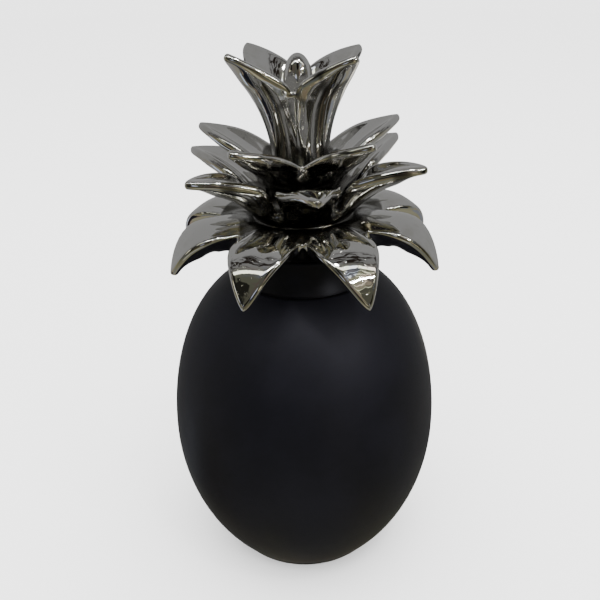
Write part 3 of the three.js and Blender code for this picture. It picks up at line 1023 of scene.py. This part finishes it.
# %% [markdown]
# ## A room for the mirror
#
# A mirror needs a room to reflect. A plain white studio would turn the crown white, so the
# ornament stands inside a tent that only reflections see. It is a large ball whose glow is
# painted by direction: even grey behind and above, and dark in front with some light low
# down, as a room with its lamps on is.
#
# Two angles name a direction. `over` runs over the top: 0 is level behind the ornament, 90
# straight up and 180 level in front. `side` is 0 in the middle plane and 90 at the far
# right. `turn` is `over` as a share of the whole way round, from straight down at 0.

# %% Directions and tones of the room
ROOM_TONES = (
    (0.00, (0.30, 0.29, 0.25, 1)),
    (0.22, (0.38, 0.38, 0.38, 1)),
    (0.47, (0.38, 0.38, 0.385, 1)),
    (0.55, (0.26, 0.26, 0.26, 1)),
    (0.60, (0.12, 0.125, 0.12, 1)),
    (0.70, (0.10, 0.10, 0.095, 1)),
    (0.80, (0.13, 0.13, 0.10, 1)),
    (0.90, (0.23, 0.225, 0.17, 1)),
    (1.00, (0.30, 0.29, 0.25, 1)),
)
ROOM_WOBBLE = dict(scale=5.0, detail=3.0, roughness=0.6)


class Room:
    """Where a reflected ray goes, and the room's tone there."""

    def __init__(self, shade):
        self.shade = shade
        where = shade.signal("ShaderNodeTexCoord", "Object")
        self.direction = shade.signal("ShaderNodeVectorMath", 0, {"operation": "NORMALIZE"}, {0: where})
        self.x, y, z = axes_of(shade, self.direction)
        self.turn = y.maths("ARCTAN2", z) * (-0.5 / math.pi) + 0.5
        self.over = self.turn * 360.0 - 90.0
        self.side = self.x.maths("ARCSINE") * (180.0 / math.pi)
        self.wobble = self.noise(ROOM_WOBBLE)
        self.tone = shade.signal("ShaderNodeValToRGB", 0, {"stops": ROOM_TONES}, {0: self.turn})

    def noise(self, pattern):
        return noise(self.shade, self.direction, **pattern)

    def lay(self, mask, tone):
        """Lays a tone over the room where a mask is 1."""
        self.tone = colour_mix(self.shade, mask, self.tone, tone)


print("tones round the room:", len(ROOM_TONES))

# %% [markdown]
# ## Patches on the walls
#
# Whatever stands in a real room shows in the silver as blurred patches of light and dark.
# Real things could stand in the scene, but soft ovals painted on the tent are enough,
# because the wavy plating bends them anyway. On the right, one more patch carries a net of
# thin light threads, like glare between branches. A noise wobbles every border.

# %% Patches and net
PATCHES = (
    dict(over=137, side=1, tall=15, wide=9, lean=0.0, tone=(0.004, 0.004, 0.005, 1)),
    dict(over=150, side=26, tall=27, wide=14, lean=0.0, tone=(0.30, 0.28, 0.25, 1)),
    dict(over=136, side=38, tall=12, wide=3, lean=0.2, tone=(0.34, 0.35, 0.31, 1)),
    dict(over=182, side=-38, tall=16, wide=15, lean=-0.5, tone=(0.008, 0.007, 0.006, 1)),
    dict(over=200, side=54, tall=40, wide=12, lean=0.0, tone=(0.010, 0.009, 0.008, 1)),
    dict(over=196, side=28, tall=12, wide=5, lean=0.8, tone=(0.95, 0.90, 0.75, 1)),
    dict(over=186, side=4, tall=13, wide=13, lean=0.0, tone=(0.03, 0.025, 0.025, 1)),
    dict(over=140, side=-52, tall=30, wide=7, lean=0.0, tone=(0.02, 0.02, 0.02, 1)),
    dict(over=150, side=-64, tall=26, wide=5, lean=0.0, tone=(1.3, 1.25, 1.1, 1)),
    dict(over=170, side=-16, tall=8, wide=7, lean=0.0, tone=(0.85, 0.85, 0.90, 1)),
    dict(over=-22, side=24, tall=8, wide=7, lean=0.0, tone=(1.3, 1.25, 1.1, 1)),
    dict(over=-54, side=-50, tall=6, wide=14, lean=0.0, tone=(0.80, 0.95, 1.30, 1)),
    dict(over=-76, side=-46, tall=16, wide=20, lean=0.0, tone=(0.014, 0.016, 0.028, 1)),
    dict(over=228, side=-8, tall=9, wide=14, lean=0.0, tone=(0.50, 0.48, 0.40, 1)),
)
PATCH_EDGE = (0.88, 1.0)
WOBBLE_SHARE = 1.3
NET = dict(over=133, side=38, tall=22, wide=16, lean=0.0, tone=(1.9, 1.95, 1.8, 1))
NET_THREADS = dict(scale=8.0, detail=1.0)
THREAD_EDGE = (0.010, 0.024)


def patch_mask(room, patch):
    """1 inside a soft-edged oval patch of the room, 0 outside it."""
    rise = (room.over - patch["over"]) * (1 / patch["tall"])
    shift = room.side - (room.over - patch["over"]) * patch["lean"]
    across = (shift - patch["side"]) * (1 / patch["wide"])
    reach = (rise * rise + across * across) ** 0.5 + (room.wobble - NOISE_MIDDLE) * WOBBLE_SHARE
    return 1.0 - reach.step(*PATCH_EDGE)


def add_patches(room):
    for patch in PATCHES:
        room.lay(patch_mask(room, patch), patch["tone"])


def add_net(room):
    """Threads run where a noise is close to its average."""
    off_thread = (room.noise(NET_THREADS) - NOISE_MIDDLE).maths("ABSOLUTE").step(*THREAD_EDGE)
    room.lay((1.0 - off_thread) * patch_mask(room, NET), NET["tone"])


print("patches on the walls:", len(PATCHES))

# %% [markdown]
# ## The strip, the streaks and the tints
#
# A bright strip crosses the skirt's front leaves, as a long ceiling light does, and just
# above it lie dark streaks. Lamps alone give such a strip straight edges, so it is painted,
# and wanders a little. Last, slow hues turn the front and the lowest part of the room
# bluish, olive or brown, because real surroundings are never one grey.

# %% Streaks, strip and tints
STREAK_TONE = (0.030, 0.024, 0.020, 1)
STREAK_FLATTENING = (1.0, 6.0, 6.0)
STREAK_PATTERN = dict(scale=2.2, detail=4.0, roughness=0.6, distortion=0.5)
STREAK_EDGE = (0.49, 0.53)
STREAKS_START = (82.0, 90.0)
STREAKS_STOP = (106.0, 113.0)
STRIP_TONE = (3.2, 3.3, 3.2, 1)
STRIP_PATTERN = dict(scale=3.0, detail=1.0)
STRIP_WANDER = 0.012
STRIP_START = (0.5655, 0.5675)
STRIP_STOP = (0.580, 0.582)
STRIP_ENDS = (0.72, 0.75)
OLIVE_TINT = (1.12, 1.10, 0.86, 1)
BROWN_TINT = (1.16, 0.96, 0.84, 1)
BLUE_TINT = (0.86, 0.92, 1.16, 1)
HUE_PATTERN = dict(scale=2.6, detail=2.0)
BLUE_TO_OLIVE = (0.40, 0.50)
OLIVE_TO_BROWN = (0.56, 0.62)
TINTED_FRONT = (100.0, 125.0)
PLAIN_BEHIND = (-70.0, -30.0)


def add_streaks(room):
    flattened = squeezed(room.shade, room.direction, STREAK_FLATTENING)
    streaks = noise(room.shade, flattened, **STREAK_PATTERN)
    band = room.over.step(*STREAKS_START) * (1.0 - room.over.step(*STREAKS_STOP))
    room.lay(streaks.step(*STREAK_EDGE) * band, STREAK_TONE)


def add_strip(room):
    strip_place = room.turn + (room.noise(STRIP_PATTERN) - NOISE_MIDDLE) * STRIP_WANDER
    strip = strip_place.step(*STRIP_START) * (1.0 - strip_place.step(*STRIP_STOP))
    strip = strip * (1.0 - room.x.maths("ABSOLUTE").step(*STRIP_ENDS))
    room.lay(strip, STRIP_TONE)


def add_tints(room):
    hues = room.noise(HUE_PATTERN)
    tint = colour_mix(room.shade, hues.step(*BLUE_TO_OLIVE), BLUE_TINT, OLIVE_TINT)
    tint = colour_mix(room.shade, hues.step(*OLIVE_TO_BROWN), tint, BROWN_TINT)
    tinted = colour_mix(room.shade, 1.0, room.tone, tint, blend="MULTIPLY")
    where_tinted = room.over.step(*TINTED_FRONT) + (1.0 - room.over.step(*PLAIN_BEHIND))
    room.lay(where_tinted, tinted)


print("the strip spans", round((STRIP_STOP[0] - STRIP_START[1]) * 360, 1), "degrees")

# %% [markdown]
# ## The tent
#
# The tent is a closed ball around everything. The world could carry the same tones, but it
# also lights the floor, which has to stay even. So the ball glows for mirrors alone and is
# hidden from the camera and from all other light.

# %% Reflection tent
TENT_RADIUS = 4.0
TENT_RINGS = 48

tent_loops = [
    circle(TENT_RADIUS * math.sin(angle), -TENT_RADIUS * math.cos(angle), 2 * TENT_RINGS)
    for angle in np.linspace(0, math.pi, TENT_RINGS)[1:-1]
]
tent = new_piece("tent", *skin(tent_loops, (0, 0, -TENT_RADIUS), (0, 0, TENT_RADIUS)))
tent_material = bpy.data.materials.new("tent glow")
tent_shade = Shade(tent_material)
tent_room = Room(tent_shade)
for add_layer in (add_patches, add_net, add_streaks, add_strip, add_tints):
    add_layer(tent_room)
tent_shade.show(tent_shade.node("ShaderNodeEmission", None, {0: tent_room.tone, 1: 1.0}))
tent.data.materials.append(tent_material)
for ray in ("camera", "diffuse", "shadow", "transmission", "volume_scatter"):
    setattr(tent, "visible_" + ray, False)
print("the tent's glow uses", len(tent_shade.tree.nodes), "nodes")

# %% [markdown]
# ## Light
#
# A glossy ornament shows best in soft light, with next to no shadow. One strong lamp would
# cast a hard one, so the world lights the floor evenly, and a large softbox overhead, which
# mirrors don't see, adds a gentle shadow. Three smaller lamps make the crisp highlights on the
# silver and the soft blooms on the glaze: a strip and a ceiling lamp in front, and a bar
# like a window's edge on the right.

# %% Lamps and world
WORLD_STRENGTH = 3.4
LAMPS = (
    dict(name="overhead softbox", at=(0.3, -0.4, 2.2), target=(0, 0, 0.1), size=(1.6, 1.6), watts=30),
    dict(name="front strip", at=(-0.25, -0.95, 1.75), target=(0, 0, 0.2), size=(0.9, 0.07), watts=4.5),
    dict(name="ceiling lamp", at=(0.35, -0.55, 1.5), target=(0, 0, 0.2), size=(0.14, 0.14), watts=3.5),
    dict(name="window bar", at=(0.93, -0.88, 0.93), target=(0, 0, 0.16), size=(0.5, 0.03), watts=5),
)
HIDDEN_FROM_MIRRORS = ("overhead softbox",)

world = bpy.data.worlds.new("studio")
bpy.context.scene.world = world
world_shade = Shade(world)
background = world_shade.node("ShaderNodeBackground", None, {0: (1, 1, 1, 1), 1: WORLD_STRENGTH})
world_shade.show(background, "ShaderNodeOutputWorld")


def lamp(name, at, target, size, watts):
    """An area lamp aimed at a point."""
    data = bpy.data.lights.new(name, "AREA")
    data.shape = "RECTANGLE"
    data.size, data.size_y = size
    data.energy = watts
    made = bpy.data.objects.new(name, data)
    made.location = at
    aim = Vector(target) - Vector(at)
    made.rotation_euler = aim.to_track_quat("-Z", "Y").to_euler()
    made.visible_glossy = name not in HIDDEN_FROM_MIRRORS
    bpy.context.scene.collection.objects.link(made)


for settings in LAMPS:
    lamp(**settings)
print("lamps:", ", ".join(settings["name"] for settings in LAMPS))

# %% [markdown]
# The fine meshes may not make the object larger than its solids.
